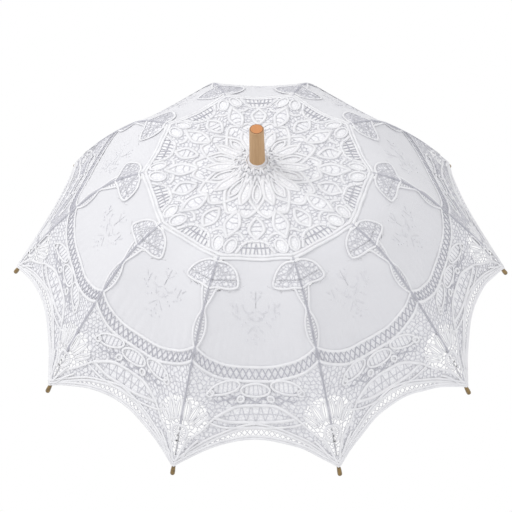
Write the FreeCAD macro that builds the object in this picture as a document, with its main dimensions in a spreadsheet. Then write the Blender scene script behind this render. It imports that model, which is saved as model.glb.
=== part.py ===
"""Lace parasol with a wooden stick: ten sprung ribs on a notch, a sliding runner and ten stretchers.

The frame is millimetres, +Z up the stick, with the origin on the axis at the middle of the grip.
"""

import math
import os

import FreeCAD
import Part
from FreeCAD import Placement, Rotation, Vector

doc = FreeCAD.newDocument("LaceParasol")
sheet = doc.addObject("Spreadsheet::Sheet", "sizes")

SIZES = {
    "rib_count": 10,
    "tip_radius": 400,
    "first_rib_angle": 0,
    "pivot_radius": 12.4,
    "rib_root_slope": 5,
    "knee_start_radius": 140,
    "knee_bend_radius": 174,
    "knee_end_slope": 46,
    "rib_tip_slope": 58,
    "rib_diameter": 2.6,
    "tang_thickness": 1.6,
    "tang_height": 3.6,
    "tang_length": 12.5,
    "flex_point": 195,
    "flex_gap": 0.1,
    "wire_diameter": 1.6,
    "wire_clearance": 0.1,
    "eye_wall": 1.35,
    "bridge_point": 186,
    "bridge_length": 15,
    "bridge_wall": 0.9,
    "ear_drop": 6,
    "ear_thickness": 1.8,
    "ear_width": 4.4,
    "rivet_diameter": 1.8,
    "rivet_clearance": 0.05,
    "rivet_head_diameter": 3.2,
    "rivet_head_height": 0.7,
    "runner_drop": 90,
    "channel_width": 4.2,
    "channel_height": 4.0,
    "channel_wall": 0.8,
    "channel_start": 27,
    "fork_length": 6.4,
    "hook_bar_length": 33,
    "hook_bar_height": 2.4,
    "hook_wall": 1.3,
    "hook_wrap_angle": 100,
    "cap_length": 16,
    "cap_diameter": 7,
    "cap_mouth_diameter": 5.5,
    "cap_taper_length": 8.8,
    "cap_seam_gap": 0.6,
    "shaft_diameter": 12,
    "shaft_foot": 30,
    "pivot_level": 545,
    "notch_diameter": 31,
    "notch_top": 2.4,
    "notch_bottom": 7,
    "slot_width": 2.2,
    "slot_floor_diameter": 18.8,
    "runner_bore_clearance": 0.1,
    "runner_sleeve_diameter": 18.8,
    "runner_flange_diameter": 31,
    "runner_flange_above": 6,
    "runner_flange_below": 5,
    "runner_sleeve_length": 46,
    "runner_bead_diameter": 20.6,
    "runner_bead_height": 4,
    "keyway_width": 3,
    "keyway_depth": 2.4,
    "catch_thickness": 1.8,
    "catch_side_gap": 0.2,
    "catch_reach": 2.1,
    "catch_length": 34,
    "catch_depth": 3.2,
    "catch_foot_inset": 1.5,
    "catch_shoulder_inset": 0.5,
    "catch_shoulder_height": 10.2,
    "catch_nose_height": 1.5,
    "catch_slot_below": 3,
    "catch_slot_above": 2,
    "catch_pin_diameter": 1.6,
    "catch_pin_offset": 1,
    "catch_pin_rise": 2.1,
    "catch_travel": 2.4,
    "top_catch_gap": 0.5,
    "bottom_catch_level": 148,
    "ferrule_length": 77,
    "ferrule_top_diameter": 21.4,
    "ferrule_base_diameter": 24,
    "ferrule_socket_depth": 40,
    "ferrule_edge": 1.2,
    "grip_diameter": 22,
    "grip_length": 70,
    "grip_bead_diameter": 25,
    "grip_bead_rise": 1.5,
    "grip_bead_thickness": 8,
    "knob_diameter": 21.6,
    "knob_length": 50,
    "knob_neck_diameter": 15,
    "knob_neck_length": 14,
    "collar_diameter": 21,
    "collar_height": 6,
    "taper_length": 58,
    "taper_top_diameter": 15,
    "cloth_lift": 3.0,
    "cloth_drop": 1.4,
    "hem_rise": 46,
    "cloth_to_ferrule": 0.3,
}

for row, (alias, value) in enumerate(SIZES.items(), start=1):
    sheet.set(f"A{row}", alias)
    sheet.set(f"B{row}", str(value))
    sheet.setAlias(f"B{row}", alias)
doc.recompute()


def size(alias):
    """Read one driving dimension from the sheet."""
    return float(sheet.get(alias))


def bind(feature, **rules):
    """Tie properties of a feature to the sheet; a double underscore in a name stands for a dot."""
    for prop, rule in rules.items():
        for alias in sorted(SIZES, key=len, reverse=True):
            rule = rule.replace(f"<{alias}>", f"sizes.{alias}")
        feature.setExpression(prop.replace("__", "."), rule)


def body(label):
    """Start a PartDesign body whose label is the name of its file."""
    made = doc.addObject("PartDesign::Body", label)
    made.Label = label
    return made


def turned(owner, kind, bottom, height, *widths, cut=False):
    """Add or remove a cylinder or cone on the axis, from a level, with widths bottom then top."""
    verb = "Subtractive" if cut else "Additive"
    feature = owner.newObject(f"PartDesign::{verb}{kind}", f"{owner.Name}_{kind}")
    bind(feature, Height=height, Placement__Base__z=bottom)
    for prop, width in zip(("Radius1", "Radius2") if kind == "Cone" else ("Radius",), widths):
        bind(feature, **{prop: f"({width}) / 2"})
    return feature


def bead(owner, level, radius, thickness):
    """Add a rounded bead, as a flattened ball on the axis."""
    feature = owner.newObject("PartDesign::AdditiveEllipsoid", f"{owner.Name}_bead")
    bind(feature, Radius1=f"({thickness}) / 2", Radius2=radius, Radius3=radius)
    bind(feature, Placement__Base__z=level)
    return feature


def slot_cut(owner, length, width, height, near, bottom):
    """Remove a box that runs outward from near, centred across +X."""
    feature = owner.newObject("PartDesign::SubtractiveBox", f"{owner.Name}_slot")
    bind(feature, Length=length, Width=width, Height=height)
    bind(feature, Placement__Base__x=near, Placement__Base__y=f"-({width}) / 2")
    bind(feature, Placement__Base__z=bottom)
    return feature


def ring_of(owner, feature):
    """Repeat a cut at every rib, starting half a gore round from +X."""
    doc.recompute()
    pattern = owner.newObject("PartDesign::PolarPattern", f"{owner.Name}_ring")
    pattern.Originals = [feature]
    axis = next(o for o in owner.Origin.OriginFeatures if o.Role == "Z_Axis")
    pattern.Axis = (axis, [""])
    pattern.Angle = 360
    bind(pattern, Occurrences="<rib_count>")
    owner.Tip = pattern
    return pattern


def solid_feature(label, shape):
    """Hold a shape that Part's own functions made."""
    feature = doc.addObject("Part::Feature", label)
    feature.Label = label
    feature.Shape = shape
    return feature


# ---------------------------------------------------------------- turned wooden pieces and the shaft

CLOTH_TOP = "<pivot_level> + <cloth_lift> + <cloth_drop>"
FERRULE_BASE = f"{CLOTH_TOP} + <cloth_to_ferrule>"
RUNNER_LEVEL = "<pivot_level> - <runner_drop>"
RUNNER_FOOT = f"{RUNNER_LEVEL} + <runner_flange_above> - <runner_sleeve_length>"
CATCH_NOSE = f"{RUNNER_FOOT} - <top_catch_gap>"


def catch_slot(owner, nose_level):
    """Cut the slot in the shaft that a flat spring catch sits and swings in."""
    return slot_cut(
        owner,
        "<shaft_diameter> / 2 + <catch_depth> + <catch_reach>",
        "<catch_thickness> + 2 * <catch_side_gap>",
        "<catch_slot_below> + <catch_length> + <catch_slot_above>",
        "-<catch_depth>",
        f"{nose_level} - <catch_length> - <catch_slot_below>",
    )


shaft = body("shaft")
turned(shaft, "Cylinder", "-<shaft_foot>", f"<shaft_foot> + {FERRULE_BASE} + <ferrule_socket_depth>",
       "<shaft_diameter>")
catch_slot(shaft, CATCH_NOSE)
catch_slot(shaft, "<bottom_catch_level>")

handle = body("handle")
turned(handle, "Cylinder", "-<grip_length> / 2", "<grip_length>", "<grip_diameter>")
turned(handle, "Cone", "-<grip_length> / 2 - <knob_neck_length>", "<knob_neck_length>",
       "<knob_neck_diameter>", "<grip_diameter>")
bead(handle, "-<grip_length> / 2 - <knob_length> / 2", "<knob_diameter> / 2", "<knob_length>")
bead(handle, "<grip_length> / 2 + <grip_bead_rise>", "<grip_bead_diameter> / 2", "<grip_bead_thickness>")
turned(handle, "Cone", "<grip_length> / 2", "<taper_length>", "<grip_diameter>", "<taper_top_diameter>")
turned(handle, "Cylinder", "<grip_length> / 2 + <taper_length>", "<collar_height>", "<collar_diameter>")
turned(handle, "Cylinder", "-<shaft_foot>", "<grip_length> + <shaft_foot> + <taper_length>",
       "<shaft_diameter>", cut=True)

ferrule = body("ferrule")
turned(ferrule, "Cone", FERRULE_BASE, "<ferrule_length> - <ferrule_edge>", "<ferrule_base_diameter>",
       "<ferrule_top_diameter>")
turned(ferrule, "Cone", f"{FERRULE_BASE} + <ferrule_length> - <ferrule_edge>", "<ferrule_edge>",
       "<ferrule_top_diameter>", "<ferrule_top_diameter> - 2 * <ferrule_edge>")
turned(ferrule, "Cylinder", FERRULE_BASE, "<ferrule_socket_depth>", "<shaft_diameter>", cut=True)

# ---------------------------------------------------------------- notch and runner, with their wires

notch_blank = body("notch_blank")
turned(notch_blank, "Cylinder", "<pivot_level> - <notch_bottom>", "<notch_bottom> + <notch_top>",
       "<notch_diameter>")
turned(notch_blank, "Cylinder", "<pivot_level> - <notch_bottom>", "<notch_bottom> + <notch_top>",
       "<shaft_diameter>", cut=True)
notch_slot = slot_cut(notch_blank, "<notch_diameter>", "<slot_width>", "<notch_bottom> + <notch_top>",
                      "<slot_floor_diameter> / 2", "<pivot_level> - <notch_bottom>")
ring_of(notch_blank, notch_slot)

runner_blank = body("runner_blank")
turned(runner_blank, "Cylinder", RUNNER_FOOT, "<runner_sleeve_length>", "<runner_sleeve_diameter>")
turned(runner_blank, "Cylinder", RUNNER_FOOT, "<runner_bead_height>", "<runner_bead_diameter>")
turned(runner_blank, "Cylinder", f"{RUNNER_LEVEL} - <runner_flange_below>",
       "<runner_flange_above> + <runner_flange_below>", "<runner_flange_diameter>")
turned(runner_blank, "Cylinder", RUNNER_FOOT, "<runner_sleeve_length>",
       "<shaft_diameter> + 2 * <runner_bore_clearance>", cut=True)
runner_slot = slot_cut(runner_blank, "<runner_flange_diameter>", "<slot_width>",
                       "<runner_flange_above> + <runner_flange_below>", "<slot_floor_diameter> / 2",
                       f"{RUNNER_LEVEL} - <runner_flange_below>")
ring_of(runner_blank, runner_slot)
doc.recompute()


def wire_ring(label, level):
    """A closed wire ring that the ends of ten ribs or stretchers turn on."""
    ring = doc.addObject("Part::Torus", label)
    ring.Label = label
    bind(ring, Radius1="<pivot_radius>", Radius2="<wire_diameter> / 2", Placement__Base__z=level)
    return ring


def faced_to_ribs(blank, level):
    """Turn a blank so its slots face the ribs, and cut the groove that its wire lies in."""
    shape = blank.Shape.copy()
    shape.rotate(Vector(), Vector(0, 0, 1), size("first_rib_angle"))
    groove = Vector(0, 0, level - size("wire_diameter") / 2)
    floor = size("pivot_radius") - size("wire_diameter") / 2
    outer = Part.makeCylinder(size("notch_diameter"), size("wire_diameter"), groove)
    inner = Part.makeCylinder(floor, size("wire_diameter"), groove)
    return shape.cut(outer.cut(inner)).removeSplitter()


def with_keyway(shape):
    """Cut the keyway that passes over the catches, through a bore on +X."""
    depth = size("shaft_diameter") / 2 + size("keyway_depth")
    width = size("keyway_width")
    foot = Vector(0, -width / 2, shape.BoundBox.ZMin)
    return shape.cut(Part.makeBox(depth, width, shape.BoundBox.ZLength, foot))


pivot_level = size("pivot_level")
runner_level = pivot_level - size("runner_drop")
wire_ring("notch_wire", "<pivot_level>")
wire_ring("runner_wire", RUNNER_LEVEL)
solid_feature("notch", faced_to_ribs(notch_blank, pivot_level))
solid_feature("runner", with_keyway(faced_to_ribs(runner_blank, runner_level)))

# ---------------------------------------------------------------- catches


def catch(label, nose_level):
    """Build one flat spring catch in its slot: a leaf on a cross pin, with a wedge at its nose."""
    thickness = size("catch_thickness")
    surface = size("shaft_diameter") / 2
    low = nose_level - size("catch_length")
    inner = -size("catch_depth") + size("catch_travel")
    outline = [
        (inner, low),
        (surface - size("catch_foot_inset"), low),
        (surface - size("catch_shoulder_inset"), low + size("catch_shoulder_height")),
        (surface + size("catch_reach"), nose_level - size("catch_nose_height")),
        (surface + size("catch_reach"), nose_level),
        (inner + size("catch_foot_inset"), nose_level),
    ]
    points = [Vector(x, -thickness / 2, z) for x, z in outline]
    leaf = Part.Face(Part.makePolygon(points + points[:1])).extrude(Vector(0, thickness, 0))
    pin_radius = size("catch_pin_diameter") / 2
    pin_length = thickness + 2 * size("catch_side_gap")
    pin_foot = Vector(size("catch_pin_offset"), -pin_length / 2, low + size("catch_pin_rise"))
    pin = Part.makeCylinder(pin_radius, pin_length, pin_foot, Vector(0, 1, 0))
    return solid_feature(label, leaf.fuse(pin))


runner_foot = runner_level + size("runner_flange_above") - size("runner_sleeve_length")
catch("top_catch", runner_foot - size("top_catch_gap"))
catch("bottom_catch", size("bottom_catch_level"))

# ---------------------------------------------------------------- the path that every rib follows

root_slope = math.radians(size("rib_root_slope"))
knee_slope = math.radians(size("knee_end_slope"))
tip_slope = math.radians(size("rib_tip_slope"))
knee_radius = size("knee_bend_radius")
knee_end_radius = size("knee_start_radius") + knee_radius * (math.sin(knee_slope) - math.sin(root_slope))
tip_bend_radius = (size("tip_radius") - knee_end_radius) / (math.sin(tip_slope) - math.sin(knee_slope))
straight_length = (size("knee_start_radius") - size("pivot_radius")) / math.cos(root_slope)
knee_length = knee_radius * (knee_slope - root_slope)
rib_length = straight_length + knee_length + tip_bend_radius * (tip_slope - knee_slope)


def on_rib(distance, lift=0.0):
    """Give the point on the rib's line at a distance from its pivot, and the slope there."""
    along = min(distance, straight_length)
    radius = size("pivot_radius") + along * math.cos(root_slope)
    level = pivot_level - along * math.sin(root_slope) + lift
    slope = root_slope
    left = distance - along
    for length, bend in ((knee_length, knee_radius), (math.inf, tip_bend_radius)):
        run = min(left, length)
        turned_to = slope + run / bend
        radius += bend * (math.sin(turned_to) - math.sin(slope))
        level -= bend * (math.cos(slope) - math.cos(turned_to))
        slope = turned_to
        left -= run
    return Vector(radius, 0, level), slope


def rib_wire(start, end, lift=0.0):
    """Make the rib's line between two distances as straight and arc edges."""
    stops = [start] + [d for d in (straight_length, straight_length + knee_length) if start < d < end] + [end]
    edges = []
    for first, last in zip(stops, stops[1:]):
        ends = [on_rib(d, lift)[0] for d in (first, (first + last) / 2, last)]
        straight = last <= straight_length + 1e-9
        edges.append(Part.LineSegment(ends[0], ends[2]).toShape() if straight else Part.Arc(*ends).toShape())
    return Part.Wire(edges)


def rib_direction(slope):
    """Point outward and down along a rib that has this slope."""
    return Vector(math.cos(slope), 0, -math.sin(slope))


def rod(start, end, diameter):
    """Sweep a round rod along the rib's line."""
    point, slope = on_rib(start)
    section = Part.Wire(Part.makeCircle(diameter / 2, point, rib_direction(slope)))
    return rib_wire(start, end).makePipeShell([section], True, True)


def plate(outline, thickness):
    """Extrude a closed outline in the rib's plane to a plate centred on that plane."""
    face = Part.Face(Part.Wire(outline))
    face.translate(Vector(0, -thickness / 2, 0))
    return face.extrude(Vector(0, thickness, 0))


def cross_hole(centre, diameter, length):
    """Make a round cutter or pin across the rib's plane."""
    foot = centre - Vector(0, length / 2, 0)
    return Part.makeCylinder(diameter / 2, length, foot, Vector(0, 1, 0))


def bar(start, end, height):
    """Outline a straight bar between two points in the rib's plane."""
    along = (end - start).normalize()
    side = Vector(-along.z, 0, along.x) * (height / 2)
    corners = [start + side, end + side, end - side, start - side]
    return Part.makePolygon(corners + corners[:1]).Edges


# ---------------------------------------------------------------- one of each rib piece, on +X

pivot = Vector(size("pivot_radius"), 0, pivot_level)
rib_diameter = size("rib_diameter")
flex_point = size("flex_point")
bore_for_wire = size("wire_diameter") + 2 * size("wire_clearance")
eye_diameter = bore_for_wire + 2 * size("eye_wall")


def inner_rib():
    """Build the inner length of a rib: an eye on the notch wire, a flat tang and the round rod."""
    tang_end = on_rib(size("tang_length"))[0]
    thickness = size("tang_thickness")
    tang = plate(bar(pivot, tang_end, size("tang_height")), thickness)
    eye = cross_hole(pivot, eye_diameter, thickness)
    rod_start = size("tang_length") - rib_diameter
    length = rod(rod_start, flex_point - rib_diameter / 2 - size("flex_gap"), rib_diameter)
    return tang.fuse([eye, length]).cut(cross_hole(pivot, bore_for_wire, 2 * thickness)).removeSplitter()


def outer_rib():
    """Build the outer length of a rib, from its knuckle at the flex point to inside its cap."""
    knuckle = cross_hole(on_rib(flex_point)[0], rib_diameter, rib_diameter)
    return knuckle.fuse(rod(flex_point, rib_length - rib_diameter, rib_diameter))


bridge_rod_point, bridge_slope = on_rib(size("bridge_point"))
ear_direction = Vector(-math.sin(bridge_slope), 0, -math.cos(bridge_slope))
ear_pivot = bridge_rod_point + ear_direction * size("ear_drop")


def bridge():
    """Build the bridge crimped on a rib, with its ear and the rivet that a stretcher turns on."""
    middle = size("bridge_point")
    half = size("bridge_length") / 2
    outside = rib_diameter + 2 * size("bridge_wall")
    end = min(middle + half, flex_point - rib_diameter / 2 - size("flex_gap"))
    sleeve = rod(middle - half, end, outside)
    ear = plate(bar(bridge_rod_point, ear_pivot, size("ear_width")), size("ear_thickness"))
    ear = ear.fuse(cross_hole(ear_pivot, size("ear_width"), size("ear_thickness")))
    rod_space = rod(middle - half, end, rib_diameter)
    hole = cross_hole(ear_pivot, size("rivet_diameter"), 3 * size("channel_width"))
    stamping = sleeve.fuse(ear).cut(rod_space).cut(hole)
    gap = size("rivet_clearance")
    head_height = size("rivet_head_height")
    shank = cross_hole(ear_pivot, size("rivet_diameter"), size("channel_width") + 2 * gap + head_height)
    heads = [
        cross_hole(ear_pivot + Vector(0, side * (size("channel_width") / 2 + gap + head_height / 2), 0),
                   size("rivet_head_diameter"), head_height)
        for side in (-1, 1)
    ]
    return Part.makeCompound([stamping, shank.fuse(heads)])


runner_pivot = Vector(size("pivot_radius"), 0, runner_level)


def stretcher():
    """Build a stretcher: a channel forked over the bridge's ear, and an open hook under the runner wire."""
    along = (ear_pivot - runner_pivot).normalize()
    outward = Vector(along.z, 0, -along.x)
    width = size("channel_width")
    wall = size("channel_wall")
    height = size("channel_height")
    start = runner_pivot + along * size("channel_start")
    outside = plate(bar(start, ear_pivot, height), width)
    outside = outside.fuse(cross_hole(ear_pivot, height, width))
    lift = outward * -wall
    beyond = along * height
    inside = plate(bar(start + lift - beyond, ear_pivot + lift + beyond, height), width - 2 * wall)
    fork_start = ear_pivot - along * size("fork_length")
    fork = plate(bar(fork_start, ear_pivot + beyond, 2 * height), width - 2 * wall)
    rivet_hole = size("rivet_diameter") + 2 * size("rivet_clearance")
    channel = outside.cut([inside, fork, cross_hole(ear_pivot, rivet_hole, 2 * width)])
    thickness = size("tang_thickness")
    inner = bore_for_wire / 2
    outer = inner + size("hook_wall")
    bar_middle = outward * (inner + size("hook_bar_height") / 2)
    bar_start = runner_pivot + bar_middle
    bar_end = bar_start + along * size("hook_bar_length")
    hook_bar = plate(bar(bar_start, bar_end, size("hook_bar_height")), thickness)
    wrap = math.radians(size("hook_wrap_angle"))
    rays = [outward * math.cos(a) - along * math.sin(a) for a in (0, wrap / 2, wrap)]
    hook = plate([
        Part.Arc(*[runner_pivot + ray * outer for ray in rays]).toShape(),
        Part.LineSegment(runner_pivot + rays[2] * outer, runner_pivot + rays[2] * inner).toShape(),
        Part.Arc(*[runner_pivot + ray * inner for ray in reversed(rays)]).toShape(),
        Part.LineSegment(runner_pivot + rays[0] * inner, runner_pivot + rays[0] * outer).toShape(),
    ], thickness)
    shoe_start = runner_pivot + along * size("channel_start") + outward * (height / 2 - wall)
    shoe_end = runner_pivot + along * size("hook_bar_length") + outward * (height / 2 - wall)
    shoe = plate(bar(shoe_start, shoe_end, 2 * wall), width)
    return channel.fuse([hook_bar.fuse(hook), shoe])


def tip_cap():
    """Build the turned cap on a rib's end: a sleeve that widens to a rounded end."""
    start = rib_length - size("cap_length")
    point, _ = on_rib(start)
    end = on_rib(rib_length)[0]
    axis = (end - point).normalize()
    radius = size("cap_diameter") / 2
    taper = size("cap_taper_length")
    sleeve = Part.makeCone(size("cap_mouth_diameter") / 2, radius, taper, point, axis)
    barrel = Part.makeCylinder(radius, (end - point).Length - taper - radius, point + axis * taper, axis)
    ball = Part.makeSphere(radius, end - axis * radius)
    bore = rod(start, rib_length - rib_diameter, rib_diameter)
    return sleeve.fuse([barrel, ball]).cut(bore).removeSplitter()


# ---------------------------------------------------------------- cloth


def gore():
    """Build the cloth between two ribs: ruled between their lines, with a hem hollowed to an arc."""
    half_turn = 180 / size("rib_count")
    start = 0.0
    end = rib_length - size("cap_length") - size("cap_seam_gap")
    layers = []
    for lift in (size("cloth_lift"), size("cloth_lift") + size("cloth_drop")):
        sides = []
        for turn in (-half_turn, half_turn):
            edge_line = rib_wire(start, end, lift)
            edge_line.rotate(Vector(), Vector(0, 0, 1), turn)
            sides.append(edge_line)
        layers.append(sides)
    faces = []
    for sides in layers:
        faces += [Part.makeRuledSurface(a, b) for a, b in zip(sides[0].Edges, sides[1].Edges)]
    for side in (0, 1):
        lower, upper = layers[0][side], layers[1][side]
        faces += [Part.makeRuledSurface(a, b) for a, b in zip(lower.Edges, upper.Edges)]
    for place in (start, end):
        corners = []
        for lift, turns in ((size("cloth_lift"), (-1, 1)),
                            (size("cloth_lift") + size("cloth_drop"), (1, -1))):
            for turn in turns:
                corner, _ = on_rib(place, lift)
                corners.append(Rotation(Vector(0, 0, 1), turn * half_turn).multVec(corner))
        faces.append(Part.Face(Part.makePolygon(corners + corners[:1])))
    shell = Part.makeShell(faces)
    shell.sewShape()
    cloth = Part.makeSolid(shell)
    corner, slope = on_rib(end)
    chord = 2 * corner.x * math.sin(math.radians(half_turn))
    rise = size("hem_rise")
    hem_radius = (chord ** 2 / 4 + rise ** 2) / (2 * rise)
    middle = Vector(corner.x * math.cos(math.radians(half_turn)), 0, corner.z + size("cloth_lift"))
    down = rib_direction(slope)
    outward = Vector(math.sin(slope), 0, math.cos(slope))
    centre = middle + down * (hem_radius - rise)
    reach = size("tip_radius") / 4
    hem_cut = Part.makeCylinder(hem_radius, 2 * reach, centre - outward * reach, outward)
    return cloth.cut(hem_cut)


def around(shape, index):
    """Copy a shape built on +X to the rib with this index."""
    angle = size("first_rib_angle") + index * 360 / size("rib_count")
    copy = shape.copy()
    copy.rotate(Vector(), Vector(0, 0, 1), angle)
    return copy


RIB_PIECES = {
    "rib_inner": inner_rib(),
    "rib_outer": outer_rib(),
    "rib_bridge": bridge(),
    "stretcher": stretcher(),
    "tip_cap": tip_cap(),
}
for index in range(int(size("rib_count"))):
    for name, shape in RIB_PIECES.items():
        solid_feature(f"{name}_{index + 1:02d}", around(shape, index))

single_gore = gore()
half_gore = 180 / size("rib_count")
gores = [around(single_gore, index) for index in range(int(size("rib_count")))]
for cloth in gores:
    cloth.rotate(Vector(), Vector(0, 0, 1), half_gore)
solid_feature("canopy", Part.makeCompound(gores))

# ---------------------------------------------------------------- checks and export

doc.recompute()
BLANKS = ("notch_blank", "runner_blank")
exported = [
    item for item in doc.Objects
    if item.isDerivedFrom("Part::Feature") and item.getParentGeoFeatureGroup() is None
    and item.Label not in BLANKS
]
for item in doc.Objects:
    if "Invalid" in item.State or "Error" in item.State:
        raise RuntimeError(f"{item.Label} failed to build: {item.State}")
for item in exported:
    if item.Shape.isNull() or not item.Shape.isValid():
        raise RuntimeError(f"{item.Label} has no valid shape")
    if not item.Shape.Solids:
        raise RuntimeError(f"{item.Label} holds no solid")

os.makedirs("parts", exist_ok=True)
for item in exported:
    item.Shape.exportStep(f"parts/{item.Label}.step")
print(f"{len(exported)} sub-parts, rib length {rib_length:.1f} mm, flex point at {on_rib(flex_point)[0]}")
print(f"ear pivot {ear_pivot}, rib end {on_rib(rib_length)[0]}")
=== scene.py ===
"""The looks of the lace parasol: cotton gores, tape lace, embroidery, wood and metal, around its frame.

Every length is in metres, in the frame's own coordinates: +Z up the stick, the first rib along +X.
"""

from __future__ import annotations

import logging
import math
import random
from dataclasses import dataclass, field
from enum import Enum
from typing import Any, Callable, Iterable, Optional, Sequence

import bpy
import numpy as np
from mathutils import Matrix, Vector


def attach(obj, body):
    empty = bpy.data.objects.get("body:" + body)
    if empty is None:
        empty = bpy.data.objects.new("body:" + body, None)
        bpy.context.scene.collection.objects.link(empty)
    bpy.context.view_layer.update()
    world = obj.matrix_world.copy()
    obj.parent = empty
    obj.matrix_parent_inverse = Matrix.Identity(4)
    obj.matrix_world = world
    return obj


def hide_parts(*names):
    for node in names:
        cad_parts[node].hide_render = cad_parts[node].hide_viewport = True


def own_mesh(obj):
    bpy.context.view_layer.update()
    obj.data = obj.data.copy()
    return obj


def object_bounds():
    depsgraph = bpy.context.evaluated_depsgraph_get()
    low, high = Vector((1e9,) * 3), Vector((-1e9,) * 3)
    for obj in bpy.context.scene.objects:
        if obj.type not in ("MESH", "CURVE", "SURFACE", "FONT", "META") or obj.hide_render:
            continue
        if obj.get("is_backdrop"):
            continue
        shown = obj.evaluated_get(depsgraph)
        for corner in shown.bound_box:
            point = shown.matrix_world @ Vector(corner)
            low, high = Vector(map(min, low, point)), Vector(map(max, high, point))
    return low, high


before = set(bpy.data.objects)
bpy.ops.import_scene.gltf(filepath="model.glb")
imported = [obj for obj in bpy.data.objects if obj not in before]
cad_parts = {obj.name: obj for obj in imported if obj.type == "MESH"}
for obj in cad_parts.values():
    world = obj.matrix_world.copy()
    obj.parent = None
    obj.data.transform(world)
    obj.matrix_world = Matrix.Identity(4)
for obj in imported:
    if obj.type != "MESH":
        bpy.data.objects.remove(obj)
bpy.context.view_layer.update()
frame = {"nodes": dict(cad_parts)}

log = logging.getLogger("parasol")

MM = 0.001
Line = np.ndarray


# ------------------------------------------------------------------------------------- the frame's lines


@dataclass(frozen=True)
class RibLine:
    """The line that every rib follows, outward and down from the notch wire."""

    count: int = 10
    pivot_radius: float = 12.4 * MM
    pivot_level: float = 545 * MM
    root_slope: float = math.radians(5)
    knee_start: float = 140 * MM
    knee_radius: float = 174 * MM
    knee_slope: float = math.radians(46)
    tip_slope: float = math.radians(58)
    tip_radius: float = 400 * MM

    @property
    def half_gore(self) -> float:
        """Give half the angle between two ribs."""
        return math.pi / self.count

    @property
    def straight(self) -> float:
        """Give the length of the straight part at the root."""
        return (self.knee_start - self.pivot_radius) / math.cos(self.root_slope)

    @property
    def knee(self) -> float:
        """Give the length of the knee's arc."""
        return self.knee_radius * (self.knee_slope - self.root_slope)

    @property
    def tip_bend(self) -> float:
        """Give the radius of the gentle bend from the knee to the tip."""
        reach = math.sin(self.knee_slope) - math.sin(self.root_slope)
        knee_end = self.knee_start + self.knee_radius * reach
        return (self.tip_radius - knee_end) / (math.sin(self.tip_slope) - math.sin(self.knee_slope))

    @property
    def length(self) -> float:
        """Give the rib's whole length."""
        return self.straight + self.knee + self.tip_bend * (self.tip_slope - self.knee_slope)

    def at(self, along: np.ndarray) -> tuple[np.ndarray, np.ndarray, np.ndarray]:
        """Give radius, level and downward slope at distances along the rib.

        Args:
            along: distances from the pivot.

        Returns:
            Three arrays as long as the input.
        """
        along = np.asarray(along, float)
        flat = np.minimum(along, self.straight)
        bent = np.clip(along - self.straight, 0, self.knee)
        last = np.maximum(along - self.straight - self.knee, 0)
        first_turn = self.root_slope + bent / self.knee_radius
        slope = first_turn + last / self.tip_bend
        radius = self.pivot_radius + flat * math.cos(self.root_slope)
        radius = radius + self.knee_radius * (np.sin(first_turn) - math.sin(self.root_slope))
        radius = radius + self.tip_bend * (np.sin(slope) - np.sin(first_turn))
        level = self.pivot_level - flat * math.sin(self.root_slope)
        level = level - self.knee_radius * (math.cos(self.root_slope) - np.cos(first_turn))
        level = level - self.tip_bend * (np.cos(first_turn) - np.cos(slope))
        return radius, level, slope

    def half_width(self, along: np.ndarray) -> np.ndarray:
        """Give the distance from the rib to the middle of the gore, across the cloth."""
        return self.at(along)[0] * math.sin(self.half_gore)


RIB = RibLine()


@dataclass(frozen=True)
class ClothMap:
    """Places a half gore's flat pattern, measured from its rib and from the top, on the open dome."""

    lift: float = 3.6 * MM
    settle: float = 0.2
    sag: float = 5.0 * MM
    gather_end: float = 34 * MM
    gather_depth: float = 0.9 * MM
    gather_count: int = 4
    neck_rise: float = 12 * MM
    neck_end: float = 46 * MM
    wander: float = 0.9 * MM

    def stray(self, flat: np.ndarray, seed: int) -> np.ndarray:
        """Move a pattern's points a little, as hand-laid tape does, and not at all on a gore's edges."""
        rng = random.Random(seed)
        phases = [rng.uniform(0, 2 * math.pi) for _ in range(4)]
        across = flat[:, 0] / np.maximum(RIB.half_width(flat[:, 1]), 1e-6)
        hold = np.clip(4 * across * (1 - across), 0, 1) * self.wander
        moved = flat.copy()
        moved[:, 0] += (hold * np.sin(flat[:, 1] / (13 * MM) + phases[0])
                        * np.cos(flat[:, 0] / (17 * MM) + phases[1]))
        moved[:, 1] += (hold * np.sin(flat[:, 0] / (11 * MM) + phases[2])
                        * np.cos(flat[:, 1] / (19 * MM) + phases[3]))
        return moved

    def place(self, flat: np.ndarray, side: int, above: float = 0.0) -> tuple[np.ndarray, np.ndarray]:
        """Lay flat points on the cloth of the rib along +X.

        Args:
            flat: rows of distance from the rib and distance from the top.
            side: +1 for the cloth towards +Y, -1 for the other half.
            above: how far over the cloth the points lie.

        Returns:
            The points and the cloth's outward direction at each.
        """
        radius, level, slope = RIB.at(flat[:, 1])
        width = radius * math.sin(RIB.half_gore)
        across = np.clip(flat[:, 0] / np.maximum(width, 1e-6), 0, 1)
        inward = radius * math.sin(RIB.half_gore) ** 2 * across
        sideways = radius * math.cos(RIB.half_gore) * math.sin(RIB.half_gore) * across
        turn = RIB.half_gore * across
        outward = np.sin(slope)
        facing = np.stack([np.cos(turn) * outward, side * np.sin(turn) * outward, np.cos(slope)], -1)
        down = np.clip(flat[:, 1] / RIB.length, 0, 1)
        drop = self.sag * np.sin(across * math.pi / 2) ** 1.5 * np.sin(math.pi * np.clip(down * 1.15, 0, 1))
        gather = np.sin(math.pi * np.clip(flat[:, 1] / self.gather_end, 0, 1))
        ripple = self.gather_depth * gather * np.cos(across * 2 * math.pi * self.gather_count)
        neck = self.neck_rise * np.clip(1 - flat[:, 1] / self.neck_end, 0, 1.05) ** 1.9
        points = np.stack([radius - inward, side * sideways, level + neck], -1)
        points += facing * (self.lift * (1 - self.settle * down) + above - drop + ripple)[:, None]
        return points, facing


CLOTH = ClothMap()


# ------------------------------------------------------------------------------------- shader expressions


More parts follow.
